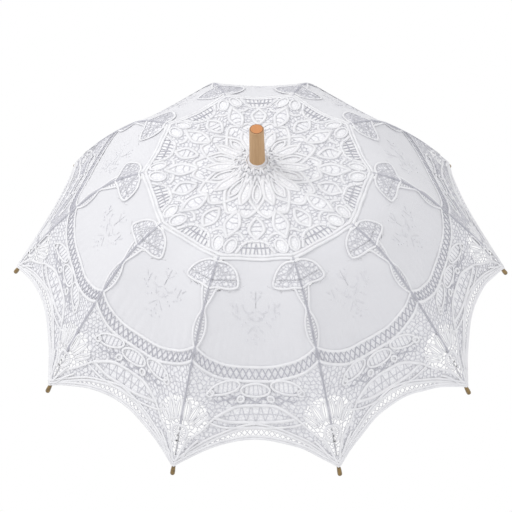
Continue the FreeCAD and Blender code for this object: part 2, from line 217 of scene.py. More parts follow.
class Flow:
    """A shader socket that takes part in arithmetic, adding its Math nodes to the same tree."""

    def __init__(self, paint: "Paint", socket: bpy.types.NodeSocket) -> None:
        """Wrap one output socket of a tree."""
        self.paint = paint
        self.socket = socket

    def _math(self, operation: str, *values: Any) -> "Flow":
        """Add one Math node and give its result."""
        return self.paint.node("ShaderNodeMath", {"operation": operation}, *values)

    def __add__(self, other: Any) -> "Flow":
        """Add."""
        return self._math("ADD", self, other)

    __radd__ = __add__

    def __sub__(self, other: Any) -> "Flow":
        """Subtract."""
        return self._math("SUBTRACT", self, other)

    def __rsub__(self, other: Any) -> "Flow":
        """Subtract from a number."""
        return self._math("SUBTRACT", other, self)

    def __mul__(self, other: Any) -> "Flow":
        """Multiply."""
        return self._math("MULTIPLY", self, other)

    __rmul__ = __mul__

    def __truediv__(self, other: Any) -> "Flow":
        """Divide."""
        return self._math("DIVIDE", self, other)

    def __pow__(self, other: Any) -> "Flow":
        """Raise to a power."""
        return self._math("POWER", self, other)

    def __abs__(self) -> "Flow":
        """Drop the sign."""
        return self._math("ABSOLUTE", self)

    def __gt__(self, other: Any) -> "Flow":
        """Give 1 where this is greater, and 0 elsewhere."""
        return self._math("GREATER_THAN", self, other)

    def sine(self) -> "Flow":
        """Take the sine."""
        return self._math("SINE", self)

    def clamped(self) -> "Flow":
        """Hold between 0 and 1."""
        return self.paint.node("ShaderNodeClamp", {}, self)


class Paint:
    """Builds one material's node tree from expressions."""

    def __init__(self, name: str) -> None:
        """Start a material with a principled shader."""
        self.material = bpy.data.materials.new(name)
        self.material.use_nodes = True
        self.tree = self.material.node_tree
        self.shader = self.tree.nodes["Principled BSDF"]

    def node(self, kind: str, settings: dict[str, Any], *values: Any, out: Any = 0, **named: Any) -> Flow:
        """Add a node.

        Args:
            kind: the node's type.
            settings: its own properties, set before its sockets.
            values: what goes into its sockets, in order.
            out: the output to give, by place or name.
            named: more sockets by name, with a double underscore for a space.

        Returns:
            The chosen output.
        """
        made = self.tree.nodes.new(kind)
        for name, value in settings.items():
            setattr(made, name, value)
        pairs = list(zip(made.inputs, values))
        pairs += [(made.inputs[name.replace("__", " ")], value) for name, value in named.items()]
        for socket, value in pairs:
            if isinstance(value, Flow):
                self.tree.links.new(value.socket, socket)
            elif value is not None:
                socket.default_value = value
        return Flow(self, made.outputs[out])

    def place(self, scale: Sequence[float] = (1, 1, 1)) -> Flow:
        """Give Object coordinates, scaled."""
        where = self.node("ShaderNodeTexCoord", {}, out="Object")
        return self.node("ShaderNodeMapping", {}, where, Scale=scale, out="Vector")

    def noise(self, where: Flow, scale: float, detail: float = 3.0, rough: float = 0.5) -> Flow:
        """Give fractal noise around one half."""
        return self.node("ShaderNodeTexNoise", {}, Vector=where, Scale=scale, Detail=detail, Roughness=rough)

    def attribute(self, name: str) -> Flow:
        """Read a number that the mesh carries."""
        return self.node("ShaderNodeAttribute", {"attribute_name": name}, out="Fac")

    def blend(self, amount: Any, first: Any, second: Any) -> Flow:
        """Mix two colours."""
        mixed = self.tree.nodes.new("ShaderNodeMix")
        mixed.data_type = "RGBA"
        for socket, value in ((mixed.inputs[0], amount), (mixed.inputs[6], first), (mixed.inputs[7], second)):
            if isinstance(value, Flow):
                self.tree.links.new(value.socket, socket)
            else:
                socket.default_value = (*value, 1.0) if isinstance(value, tuple) else value
        return Flow(self, mixed.outputs[2])

    def finish(self, colour: Any, rough: Any, bump: Optional[Flow] = None, strength: float = 0.3,
               depth: float = 0.0003, **constants: float) -> bpy.types.Material:
        """Connect the shader and give the material."""
        for name, value in (("Base Color", colour), ("Roughness", rough)):
            socket = self.shader.inputs[name]
            if isinstance(value, Flow):
                self.tree.links.new(value.socket, socket)
            else:
                socket.default_value = (*value, 1.0) if isinstance(value, tuple) else value
        if bump is not None:
            normal = self.node("ShaderNodeBump", {}, Strength=strength, Distance=depth, Height=bump,
                               out="Normal")
            self.tree.links.new(normal.socket, self.shader.inputs["Normal"])
        for name, value in constants.items():
            self.shader.inputs[name.replace("__", " ")].default_value = value
        return self.material


Colour = tuple[float, float, float]


@dataclass(frozen=True)
class Cotton:
    """Plain woven cotton."""

    name: str = "plain_cotton"
    light: Colour = (0.745, 0.745, 0.775)
    shade: Colour = (0.698, 0.698, 0.732)
    weave_pitch: float = 0.55 * MM

    def dress(self) -> bpy.types.Material:
        """Build the material: crossed threads, slubs and soft cloudy tone."""
        paint = Paint(self.name)
        across = paint.attribute("across")
        along = paint.attribute("along")
        turn = 2 * math.pi / self.weave_pitch
        threads = (across * turn).sine() * (along * turn).sine()
        cloud = paint.noise(paint.place(), 14.0, 4.0)
        slub = paint.noise(paint.place((60, 60, 900)), 1.0, 2.0)
        tone = (cloud * 0.9 + slub * 0.5 + threads * 0.12 - 0.25).clamped()
        colour = paint.blend(tone, self.shade, self.light)
        return paint.finish(colour, 0.86 + cloud * 0.1, threads + slub * 1.5, 0.35, 0.0002,
                            Sheen__Weight=0.25)


@dataclass(frozen=True)
class WovenTape:
    """Lace tape: a dense woven band with raised corded edges."""

    name: str
    light: Colour = (0.84, 0.84, 0.865)
    # painted shade: the grey-blue that darkens the tape towards its raised edges
    edge: Colour = (0.29, 0.29, 0.35)
    pick_pitch: float = 0.9 * MM

    def dress(self) -> bpy.types.Material:
        """Build the material: painted shade along the corded edges, picks across, a fine rib along."""
        paint = Paint(self.name)
        across = paint.attribute("across")
        along = paint.attribute("along")
        # mask of the painted shade, strongest just inside each edge of the tape
        from_middle = abs(across - 0.5) * 2
        cord = (from_middle - 0.55) / 0.45
        edge = (cord.clamped() * 3.2).sine().clamped()
        picks = (along * (2 * math.pi / self.pick_pitch)).sine()
        cloud = paint.noise(paint.place(), 60.0, 3.0)
        tone = (edge * 0.75 + picks * 0.10 + cloud * 0.5 - 0.2).clamped()
        colour = paint.blend(tone, self.light, self.edge)
        bump = edge * 1.4 + picks * 0.4 + cloud
        return paint.finish(colour, 0.8, bump, 0.5, 0.0003, Sheen__Weight=0.2)


@dataclass(frozen=True)
class TwistedThread:
    """Cotton thread, twisted."""

    name: str
    light: Colour = (0.75, 0.75, 0.78)
    shade: Colour = (0.58, 0.58, 0.63)
    twist_pitch: float = 1.1 * MM

    def dress(self) -> bpy.types.Material:
        """Build the material: slanting strands and uneven tone."""
        paint = Paint(self.name)
        turn = 2 * math.pi / self.twist_pitch
        twist = (paint.attribute("along") * turn + paint.attribute("across") * 2.0).sine()
        cloud = paint.noise(paint.place(), 90.0, 2.0)
        tone = (cloud * 0.9 + twist * 0.18 - 0.1).clamped()
        return paint.finish(paint.blend(tone, self.shade, self.light), 0.72, twist + cloud, 0.4, 0.0002)


@dataclass(frozen=True)
class NeedleFilling:
    """Close needle lace: pale cells between darker threads."""

    name: str = "needle_filling"
    cell: Colour = (0.85, 0.85, 0.87)
    thread: Colour = (0.66, 0.66, 0.71)
    pitch: float = 5.2 * MM

    def dress(self) -> bpy.types.Material:
        """Build the material: uneven cells, each with a raised thread round it."""
        paint = Paint(self.name)
        flat = paint.node("ShaderNodeCombineXYZ", {}, paint.attribute("across"), paint.attribute("along"))
        cells = {"feature": "DISTANCE_TO_EDGE", "voronoi_dimensions": "2D"}
        edge = paint.node("ShaderNodeTexVoronoi", cells, Vector=flat, Scale=1 / self.pitch, out="Distance")
        cloud = paint.noise(paint.place(), 55.0, 3.0)
        line = (1 - edge * 5.5).clamped()
        tone = (line * 0.55 + cloud * 0.5 - 0.2).clamped()
        return paint.finish(paint.blend(tone, self.cell, self.thread), 0.85, line + cloud, 0.5, 0.0004,
                            Sheen__Weight=0.2)


@dataclass(frozen=True)
class TurnedWood:
    """Turned wood with grain along Z, and end grain above a level."""

    name: str
    pale: Colour = (0.56, 0.36, 0.19)
    dark: Colour = (0.40, 0.235, 0.11)
    end_level: float = 10.0
    end_radius: float = 9.0 * MM
    end_colour: Colour = (0.50, 0.20, 0.065)
    rim_colour: Colour = (0.14, 0.06, 0.025)

    def dress(self) -> bpy.types.Material:
        """Build the material: streaks and pores along the stick, rings on the sawn end."""
        paint = Paint(self.name)
        where = paint.place()
        streaks = paint.noise(paint.place((1, 1, 0.06)), 420.0, 5.0, 0.65)
        pores = paint.noise(paint.place((1, 1, 0.03)), 1500.0, 2.0)
        cloud = paint.noise(where, 22.0, 3.0)
        tone = (streaks * 1.5 + cloud * 0.7 - 0.65).clamped()
        side = paint.blend(tone, self.dark, self.pale)
        split = paint.tree.nodes.new("ShaderNodeSeparateXYZ")
        paint.tree.links.new(where.socket, split.inputs[0])
        x, y, z = (Flow(paint, out) for out in split.outputs)
        radius = (x * x + y * y) ** 0.5
        rings = (radius * 5200.0 + paint.noise(where, 130.0, 3.0) * 9.0).sine()
        heart = (rings * 0.34 + paint.noise(where, 300.0, 4.0) * 0.9).clamped()
        end = paint.blend(heart, self.end_colour, (0.66, 0.30, 0.12))
        rim = ((radius - (self.end_radius - 1.6 * MM)) / (1.4 * MM)).clamped()
        end = paint.blend(rim, end, self.rim_colour)
        colour = paint.blend(z > self.end_level, side, end)
        bump = streaks + pores * 0.6
        return paint.finish(colour, 0.5 + pores * 0.25, bump, 0.3, 0.0002, Coat__Weight=0.12)


@dataclass(frozen=True)
class Metal:
    """Bare or plated metal, worn unevenly."""

    name: str
    bright: Colour
    dull: Colour
    rough: float = 0.34
    metallic: float = 1.0

    def dress(self) -> bpy.types.Material:
        """Build the material: drawn scratches and cloudy tarnish."""
        paint = Paint(self.name)
        scratch = paint.noise(paint.place((1, 1, 0.2)), 900.0, 3.0)
        cloud = paint.noise(paint.place(), 70.0, 4.0)
        tone = (cloud * 1.3 - 0.2).clamped()
        colour = paint.blend(tone, self.dull, self.bright)
        return paint.finish(colour, scratch * 0.25 + (self.rough - 0.1), scratch, 0.15, 0.0001, Metallic=self.metallic)


@dataclass(frozen=True)
class Varnish:
    """Dark varnished turned tips."""

    name: str = "dark_varnish"
    light: Colour = (0.30, 0.185, 0.045)
    dark: Colour = (0.075, 0.045, 0.015)

    def dress(self) -> bpy.types.Material:
        """Build the material: amber lights in a dark brown."""
        paint = Paint(self.name)
        cloud = paint.noise(paint.place(), 210.0, 4.0, 0.6)
        tone = (cloud * 2.2 - 0.6).clamped()
        colour = paint.blend(tone, self.dark, self.light)
        return paint.finish(colour, 0.36, cloud, 0.2, 0.0002, Coat__Weight=0.4)


# ------------------------------------------------------------------------------------- lines of the lace


class Kind(Enum):
    """What a line of the lace is made of; the value is its width and thickness."""

    TAPE = (5.0 * MM, 0.6 * MM)
    NARROW = (3.5 * MM, 0.55 * MM)
    CORD = (1.3 * MM, 0.9 * MM)
    BAR = (0.9 * MM, 0.7 * MM)
    STITCH = (0.75 * MM, 0.5 * MM)
    KNOT = (1.9 * MM, 1.3 * MM)


ABOVE = {Kind.TAPE: 0.95 * MM, Kind.NARROW: 1.2 * MM, Kind.CORD: 0.75 * MM,
         Kind.BAR: 0.45 * MM, Kind.STITCH: 0.45 * MM, Kind.KNOT: 0.5 * MM}


KNOT_POINT = len(Kind)
FILLING_POINT = len(Kind) + 1
TULLE_POINT = len(Kind) + 2


def smooth(points: Sequence[Sequence[float]], step: float = 3.2 * MM, closed: bool = False) -> Line:
    """Draw a smooth line through points (a Catmull-Rom spline).

    Args:
        points: rows of flat coordinates.
        step: about how far apart the result's points are.
        closed: joins the last point to the first.

    Returns:
        The line's points; a closed line repeats its first point at the end.
    """
    known = np.asarray(points, float)
    if closed:
        known = np.vstack([known[-1], known, known[0], known[1]])
    else:
        known = np.vstack([2 * known[0] - known[1], known, 2 * known[-1] - known[-2]])
    out = []
    for a, b, c, d in zip(known, known[1:], known[2:], known[3:]):
        share = np.linspace(0, 1, max(2, int(np.linalg.norm(c - b) / step) + 1))[:-1, None]
        out.append(0.5 * (2 * b + (c - a) * share + (2 * a - 5 * b + 4 * c - d) * share ** 2
                          + (3 * b - a - 3 * c + d) * share ** 3))
    out.append(known[-2][None])
    return np.vstack(out)


def straight(start: Sequence[float], end: Sequence[float], step: float = 6 * MM) -> Line:
    """Draw a straight line as short pieces, so it follows the cloth."""
    count = max(2, int(math.dist(start, end) / step) + 2)
    return np.linspace(start, end, count)


def loop(centre: Sequence[float], length: float, width: float, lean: float = 0.0, parts: int = 18) -> Line:
    """Draw a closed oval; lean turns its long axis away from the rib's direction."""
    turn = np.linspace(0, 2 * math.pi, parts + 1)
    along, across = np.cos(turn) * length, np.sin(turn) * width
    x = centre[0] + along * math.sin(lean) + across * math.cos(lean)
    y = centre[1] - along * math.cos(lean) + across * math.sin(lean)
    return np.stack([x, y], -1)


def inside(polygon: Line, points: np.ndarray) -> np.ndarray:
    """Tell which points lie in a closed outline."""
    x, y = points[:, 0], points[:, 1]
    result = np.zeros(len(points), bool)
    for (x1, y1), (x2, y2) in zip(polygon, np.roll(polygon, -1, axis=0)):
        crosses = (y1 > y) != (y2 > y)
        with np.errstate(divide="ignore", invalid="ignore"):
            result ^= crosses & (x < (x2 - x1) * (y - y1) / (y2 - y1) + x1)
    return result


def allowed_at(outline: Line, holes: Sequence[Line], points: np.ndarray) -> np.ndarray:
    """Tell which points lie in an outline and in none of the holes."""
    allowed = inside(outline, points)
    for hole in holes:
        allowed &= ~inside(hole, points)
    return allowed


@dataclass
class Drawing:
    """The flat pattern of one half gore: lines by kind, outlines left open by the net, and close fillings."""

    lines: list[tuple[Kind, Line]] = field(default_factory=list)
    holes: list[Line] = field(default_factory=list)
    grounds: list[tuple[Line, list[Line], int]] = field(default_factory=list)

    def add(self, kind: Kind, line: Line) -> Line:
        """Lay one line."""
        self.lines.append((kind, line))
        return line

    def motif(self, kind: Kind, line: Line) -> Line:
        """Lay a closed outline and keep the net out of it."""
        self.holes.append(line)
        return self.add(kind, line)

    def ladder(self, kind: Kind, low: Line, high: Line, pitch: float, crossed: bool = True) -> None:
        """Lace two lines together with slanting bars, one way or both."""
        def at(line: Line, share: np.ndarray) -> Line:
            steps = np.concatenate([[0], np.cumsum(np.linalg.norm(np.diff(line, axis=0), axis=1))])
            return np.stack([np.interp(share * steps[-1], steps, line[:, i]) for i in (0, 1)], -1)

        length = np.linalg.norm(np.diff(low, axis=0), axis=1).sum()
        count = max(2, int(round(length / pitch)))
        share = np.linspace(0, 1, count + 1)
        first, second = at(low, share), at(high, share)
        for index in range(count):
            pair = (first[index], second[index + 1]) if index % 2 else (second[index], first[index + 1])
            self.add(kind, straight(*pair))
            if crossed:
                pair = (second[index], first[index + 1]) if index % 2 else (first[index], second[index + 1])
                self.add(kind, straight(*pair))


# ------------------------------------------------------------------------------------- the gore's layout


def width_at(along: float) -> float:
    """Give the distance from rib to mid-gore at one distance from the top."""
    return float(RIB.half_width(np.array([along]))[0])


@dataclass(frozen=True)
class Layout:
    """Where the bands of a gore begin and end, measured down from the top."""

    collar: float = -2.2 * MM
    collar_end: float = 27 * MM
    panel_top: float = 163 * MM
    panel_foot: float = 323 * MM
    panel_rise: float = 32 * MM
    panel_power: float = 2.8
    ladder_depth: float = 23 * MM
    corner: float = 481 * MM
    hem_rise: float = 45 * MM
    split: float = 195 * MM
    seam_inset: float = 0.9 * MM
    seam_start: float = 160 * MM
    seam_end: float = 412 * MM

    def foot(self, across: np.ndarray) -> np.ndarray:
        """Give the level of the plain panel's foot, at shares of the way to mid-gore."""
        return self.panel_foot - self.panel_rise * np.clip(1 - across, 0, 1) ** self.panel_power

    def hem(self, across: np.ndarray) -> np.ndarray:
        """Give the level of the hem's outer edge."""
        return self.corner - self.hem_rise * (1 - np.clip(1 - across, 0, 1) ** 2)

    def flat(self, across: np.ndarray, along: np.ndarray) -> Line:
        """Turn shares of the way to mid-gore, and levels, into flat points."""
        return np.stack([across * RIB.half_width(along), along], -1)

    def row(self, level: Callable[[np.ndarray], np.ndarray], shift: float = 0.0, parts: int = 46,
            start: float = 0.0) -> Line:
        """Draw a line at a level across the half gore."""
        across = np.linspace(start, 1, parts)
        return self.flat(across, level(across) + shift)

    def hem_inset(self, across: np.ndarray) -> np.ndarray:
        """Give how far above the outer edge the hem's inner tape runs."""
        return (4 + 15 * across ** 0.7) * MM


LAYOUT = Layout()


def P(across: float, along_mm: float) -> tuple[float, float]:
    """Give a flat point from a share of the way to mid-gore and a level in millimetres."""
    along = along_mm * MM
    return across * width_at(along), along


BOW = [(0.5, 167), (12, 168.5), (26, 178), (36, 192), (40, 205), (29, 208), (12, 206), (1, 207)]
STRIP = [(11, 206), (7.5, 221), (2.2, 238), (6.8, 252), (9.2, 268), (7.5, 281), (3.0, 293)]


def lengths(points: Iterable[tuple[float, float]]) -> Line:
    """Turn millimetres into flat points."""
    return np.array(list(points)) * MM


def from_middle(inset_mm: float, along_mm: float) -> tuple[float, float]:
    """Give a flat point from its distance to mid-gore and its level, both in millimetres."""
    return width_at(along_mm * MM) - inset_mm * MM, along_mm * MM


def keep_where(line: Line, room: Callable[[Line], np.ndarray]) -> list[Line]:
    """Cut a line where a measure falls below zero, and give the parts where it doesn't."""
    values = room(line)
    parts: list[Line] = []
    current: list[np.ndarray] = []
    for index, value in enumerate(values):
        if index and (value >= 0) != (values[index - 1] >= 0):
            share = values[index - 1] / (values[index - 1] - value)
            current.append(line[index - 1] + share * (line[index] - line[index - 1]))
            if value < 0:
                parts.append(np.array(current))
                current = []
        if value >= 0:
            current.append(line[index])
    if len(current) > 1:
        parts.append(np.array(current))
    return [part for part in parts if len(part) > 1 and np.linalg.norm(part[-1] - part[0]) + len(part) > 1e-4]


class Rosette:
    """The lace around the ferrule: petals, scallops, leaves and windows inside a double ring."""

    petals = ([(1, 10), (0.5, 28), (0.42, 52), (1, 74)], [(0, 16), (0.4, 34), (0.35, 52), (0, 66)],
              [(1, 74), (0.5, 88), (0, 78)])
    inner_petals = ([(1, 24), (0.7, 36), (0.7, 50), (1, 62)], [(0, 4), (0.5, 14), (1, 8)])
    leaves = ([(0, 78), (0.22, 90), (0.3, 108), (0, 126)], [(1, 88), (0.8, 96), (0.72, 112), (1, 128)])
    scroll = [(0, 128), (0.2, 118), (0.45, 120), (0.6, 128)]
    window = [(0.42, 153), (0.5, 146), (0.62, 136), (0.78, 131.5), (1, 131)]
    grid_insets = (3, 9, 15, 21)

    def draw(self, drawing: Drawing) -> None:
        """Lay the rosette's tapes and the bars in its leaves and windows."""
        for points in (*self.petals, *self.leaves):
            drawing.motif(Kind.TAPE, smooth([P(*point) for point in points]))
        for points in self.inner_petals:
            drawing.add(Kind.NARROW, smooth([P(*point) for point in points]))
        drawing.add(Kind.TAPE, smooth([P(*point) for point in self.scroll]))
        edge = drawing.add(Kind.TAPE, smooth([P(*point) for point in self.window]))
        foot = straight(P(0.42, 153), P(1, 153))
        drawing.holes.append(np.vstack([edge, foot[::-1]]))
        for inset in self.grid_insets:
            top = np.interp(width_at(143 * MM) - inset * MM, edge[:, 0], edge[:, 1])
            drawing.add(Kind.CORD, straight((width_at(143 * MM) - inset * MM, top), from_middle(inset, 155)))
        drawing.add(Kind.CORD, straight(P(0.54, 143), P(1, 143)))
        corner = loop(P(0.22, 141), 12 * MM, 8.5 * MM)
        drawing.motif(Kind.NARROW, corner)
        drawing.add(Kind.NARROW, straight(P(0, 141), P(0.08, 141)))
        window = drawing.holes[-2]
        drawing.grounds.append((self.outline(), [window], FILLING_POINT))
        drawing.grounds.append((window, [], TULLE_POINT))
        for inner, outer in (((0, 90), (0.2, 92)), ((0, 100), (0.26, 100)), ((0, 112), (0.24, 112))):
            drawing.add(Kind.BAR, straight(P(*inner), P(*outer)))
        for inner, outer in (((0.83, 95), (1, 97)), ((0.75, 104), (1, 104)), ((0.73, 113), (1, 112))):
            drawing.add(Kind.BAR, straight(P(*inner), P(*outer)))
        for level, kind in ((5, Kind.NARROW), (156.3, Kind.TAPE), (161.8, Kind.TAPE)):
            drawing.add(kind, LAYOUT.row(lambda across, level=level: 0 * across + level * MM, parts=24))

    def outline(self) -> Line:
        """Give the band that the net fills."""
        return np.array([P(0, 3), *(P(1, level) for level in range(3, 160, 6)), P(0, 158)])


class Bow:
    """The looped tape at each rib under the ring, and the pinched strip of lace that hangs from it."""

    spokes = ((31, 188), (35, 202), (20, 205))

    def draw(self, drawing: Drawing) -> None:
        """Lay the bow, its spokes, and the strip with its zigzag."""
        drawing.add(Kind.NARROW, smooth(lengths(BOW)))
        for end in self.spokes:
            drawing.add(Kind.BAR, smooth(lengths([(2, 170), (end[0] * 0.5, end[1] * 0.5 + 89), end])))
        drawing.grounds.append((self.outline(), [], FILLING_POINT))
        strip = drawing.add(Kind.NARROW, smooth(lengths(STRIP)))
        drawing.grounds.append((np.vstack([strip, strip[::-1] * [0, 1]]), [], TULLE_POINT))
        rib_side = np.stack([0 * strip[:, 0] + 0.4 * MM, strip[:, 1]], -1)
        drawing.ladder(Kind.BAR, rib_side, strip, 4.6 * MM)
        drawing.add(Kind.CORD, lengths([(0, 237.5), (2.6, 237.5)]))
        drawing.add(Kind.CORD, lengths([(0, 240), (2.6, 240)]))

    def outline(self) -> Line:
        """Give the part that the net fills."""
        return np.vstack([[(0, 166 * MM)], smooth(lengths(BOW)), [(0, 207 * MM)]])


class Snowflake:
    """The embroidery in the middle of each panel: a branching star with sprays and seed stitches."""

    centre = 245.0
    strokes = ([(0, -8), (0, -33)], [(0, -19), (7.5, -27)], [(3, -4), (9, 0)], [(9, 0), (17, -4)],
               [(4, 5), (10, 9)], [(2, 18), (12, 29)], [(27, -15), (27, -1)],
               [(19, -14), (18, -8)], [(12, 2), (8, 8)], [(8, 8), (2, 11)], [(31, -10), (35, -16)])
    seeds = ((0, 24), (0, 31), (0, 43), (28, 3), (24, 6), (15, 12), (20, 16), (33, -2), (7, -33),
             (4, 36), (12, 38))

    def draw(self, drawing: Drawing) -> None:
        """Lay the stitches of one half of the star."""
        for start, end in self.strokes:
            first = from_middle(start[0], self.centre + start[1])
            last = from_middle(end[0], self.centre + end[1])
            drawing.add(Kind.STITCH, straight(first, last))
        for x, y in self.seeds:
            point = np.array(from_middle(x, self.centre + y))
            drawing.add(Kind.KNOT, np.array([point, point + (0.0, 1.2 * MM)]))


class Border:
    """The deep border: a laced ladder, ovals, a fishbone leaf, petals at the rib and a double hem."""

    rib_window = ((-2, 372), (14, 374), (30, 387), (39, 404), (31, 424), (18, 440), (8, 456), (-2, 466))
    oval_reach = 21 * MM
    oval_depth = 10 * MM
    ring_radius = 4.6 * MM
    petals = ((6, 391, 15, 4.6, 0.0), (17, 396, 15, 4.6, 0.4), (28, 406, 13, 4.4, 0.8))
    wheel_level = 427 * MM
    wheel_radius = 12 * MM
    hub_radius = 3.6 * MM
    braid_pitch = 5.5 * MM
    braid_height = 2.4 * MM

    @staticmethod
    def inner_hem(across: np.ndarray) -> np.ndarray:
        """Give the level of the hem's inner tape."""
        return LAYOUT.hem(across) - LAYOUT.hem_inset(across)

    def braids(self, drawing: Drawing) -> None:
        """Lay three waving cords between the ovals and the leaf."""
        for place in range(3):
            line = LAYOUT.row(LAYOUT.foot, LAYOUT.ladder_depth + 24 * MM + self.braid_pitch * place, 60, 0.42)
            wave = self.braid_height * np.sin(line[:, 0] / (3.4 * MM) + place * math.pi)
            drawing.add(Kind.CORD, line + np.stack([0 * wave, wave], -1))

    def draw(self, drawing: Drawing) -> None:
        """Lay the border's tapes, motifs and bars."""
        foot, depth = LAYOUT.foot, LAYOUT.ladder_depth
        drawing.add(Kind.TAPE, LAYOUT.row(foot, 2 * MM))
        drawing.add(Kind.TAPE, LAYOUT.row(foot, depth))
        drawing.ladder(Kind.CORD, LAYOUT.row(foot, 3.4 * MM), LAYOUT.row(foot, depth - 1.4 * MM), 9.5 * MM)
        rib_window = smooth(lengths(self.rib_window))
        outline = np.vstack([LAYOUT.row(foot, 2 * MM, 30), LAYOUT.row(self.inner_hem, 0, 30)[::-1]])
        drawing.grounds.append((outline, [rib_window], FILLING_POINT))
        self.ovals(drawing)
        self.braids(drawing)
        self.leaf(drawing)
        self.fan(drawing)
        self.hem(drawing)

    def ovals(self, drawing: Drawing) -> None:
        """Lay the row of flat ovals under the ladder, with the small rings between."""
        for inset in (0.0, 44.0, 86.0):
            level = self.under_ladder(inset) + 13.5 * MM
            x = width_at(level) - inset * MM
            if x < 14 * MM:
                continue
            lean = math.pi / 2 - 0.0045 * inset
            reach = min(self.oval_reach, x)
            drawing.motif(Kind.NARROW, loop((x, level), reach, self.oval_depth, lean, 24))
            for share in np.linspace(-0.75, 0.75, 6):
                across = x + share * self.oval_reach
                reach = self.oval_depth * math.sqrt(1 - share ** 2)
                tilt = (across - x) * math.sin(math.pi / 2 - lean)
                drawing.add(Kind.BAR, straight((across - 1.2 * MM, level - tilt - reach),
                                               (across + 1.2 * MM, level - tilt + reach)))
        for inset in (22.0, 65.0):
            level = self.under_ladder(inset) + 28 * MM
            centre = (width_at(level) - inset * MM, level)
            drawing.motif(Kind.NARROW, loop(centre, self.ring_radius, self.ring_radius, parts=12))

    def under_ladder(self, inset: float) -> float:
        """Give the level of the ladder's lower tape, at a distance in millimetres from mid-gore."""
        middle = width_at(360 * MM)
        across = np.array([max(0.0, 1 - inset * MM / middle)])
        return float(LAYOUT.foot(across)[0]) + LAYOUT.ladder_depth

    def leaf(self, drawing: Drawing) -> None:
        """Lay the eye-shaped leaf at mid-gore, its fishbone bars, and the tail that curls to the rib."""
        upper = smooth([from_middle(*point) for point in ((0, 383), (30, 386), (60, 403))])
        lower = smooth([from_middle(*point) for point in ((60, 403), (32, 409), (0, 410))])
        drawing.add(Kind.TAPE, upper)
        drawing.add(Kind.TAPE, lower)
        drawing.holes.append(np.vstack([upper, lower]))
        spine = smooth([from_middle(*point) for point in ((0, 397), (30, 398), (58, 403))])
        drawing.add(Kind.BAR, spine)
        drawing.ladder(Kind.BAR, upper, lower[::-1], 7 * MM, crossed=False)
        tail = [from_middle(60, 403), from_middle(80, 424), (16 * MM, 438 * MM), (9 * MM, 455 * MM)]
        drawing.add(Kind.NARROW, smooth(tail))
        inner = [from_middle(0, 419), from_middle(34, 418), from_middle(62, 413), from_middle(84, 400)]
        drawing.add(Kind.NARROW, smooth(inner))

    def fan(self, drawing: Drawing) -> None:
        """Lay the petals, the round motif and the closing tape at the rib."""
        for x, y, length, width, lean in self.petals:
            petal = drawing.motif(Kind.NARROW, loop((x * MM, y * MM), length * MM, width * MM, lean))
            drawing.add(Kind.BAR, straight(petal[0], petal[9]))
        wheel = (0.0, self.wheel_level)
        drawing.motif(Kind.TAPE, loop(wheel, 12.5 * MM, self.wheel_radius, parts=28))
        drawing.add(Kind.NARROW, loop(wheel, self.hub_radius, self.hub_radius, parts=12))
        for turn in np.arange(1, 8) * math.pi / 8:
            way = np.array([math.sin(turn), -math.cos(turn)])
            drawing.add(Kind.BAR, straight(wheel + way * self.hub_radius, wheel + way * self.wheel_radius))
        drawing.add(Kind.NARROW, smooth(lengths([(15, 434), (8, 452), (3, 470)])))
        drawing.add(Kind.NARROW, smooth(lengths([(30, 438), (18, 452), (9, 470)])))

    def hem(self, drawing: Drawing) -> None:
        """Lay the hem: two tapes on the edge, two inside, and the ties between them."""
        drawing.add(Kind.NARROW, LAYOUT.row(LAYOUT.hem, -1.4 * MM, 60))
        drawing.add(Kind.NARROW, LAYOUT.row(LAYOUT.hem, -5.2 * MM, 60))

        inner = self.inner_hem
        drawing.add(Kind.TAPE, LAYOUT.row(inner, 0, 56))
        drawing.add(Kind.NARROW, LAYOUT.row(inner, -5 * MM, 56))
        ties = LAYOUT.row(LAYOUT.hem, -6 * MM, 56), LAYOUT.row(inner, 1.2 * MM, 56)
        drawing.ladder(Kind.BAR, *ties, 7.5 * MM)

    def outline(self) -> Line:
        """Give the part that the net fills."""
        top = LAYOUT.row(LAYOUT.foot, LAYOUT.ladder_depth, 30)
        low = LAYOUT.row(self.inner_hem, -5 * MM, 30)
        return np.vstack([top, low[::-1]])


@dataclass
class Net:
    """An irregular mesh of bars with a knot where they meet."""

    cell: float
    jitter: float = 0.5
    edges: list[Line] = field(default_factory=list)
    knots: list[np.ndarray] = field(default_factory=list)

    def fill(self, outline: Line, holes: Sequence[Line], seed: int) -> None:
        """Fill an outline, leaving holes open.

        Args:
            outline: the closed outline in flat coordinates.
            holes: closed outlines that stay open.
            seed: fixes the irregularities.
        """
        rng = np.random.default_rng(seed)
        low, high = outline.min(0) - self.cell, outline.max(0) + self.cell
        columns = int((high[0] - low[0]) / (self.cell * 0.5)) + 1
        rows = int((high[1] - low[1]) / (self.cell * 0.87)) + 1
        column, row = np.meshgrid(np.arange(columns), np.arange(rows), indexing="ij")
        stagger = np.where((column + row) % 2, 0.145, -0.145)
        grid = np.stack([low[0] + column * self.cell * 0.5, low[1] + (row * 0.87 + stagger) * self.cell], -1)
        grid += rng.uniform(-self.jitter, self.jitter, grid.shape) * self.cell * 0.6
        along = [(grid[i, j], grid[i + 1, j]) for i in range(columns - 1) for j in range(rows)]
        down = [(grid[i, j], grid[i, j + 1]) for i in range(columns) for j in range(rows - 1) if (i + j) % 2]
        pairs = np.array(along + down)
        shares = np.linspace(0, 1, 6)[None, :, None]
        samples = pairs[:, :1] + shares * (pairs[:, 1:] - pairs[:, :1])
        open_here = allowed_at(outline, holes, samples.reshape(-1, 2)).reshape(samples.shape[:2])
        for points, allowed in zip(samples, open_here):
            if allowed.sum() > 1:
                first, last = np.flatnonzero(allowed)[[0, -1]]
                self.edges.append(points[[first, last]])
        flat = grid.reshape(-1, 2)
        self.knots.extend(flat[allowed_at(outline, holes, flat)])


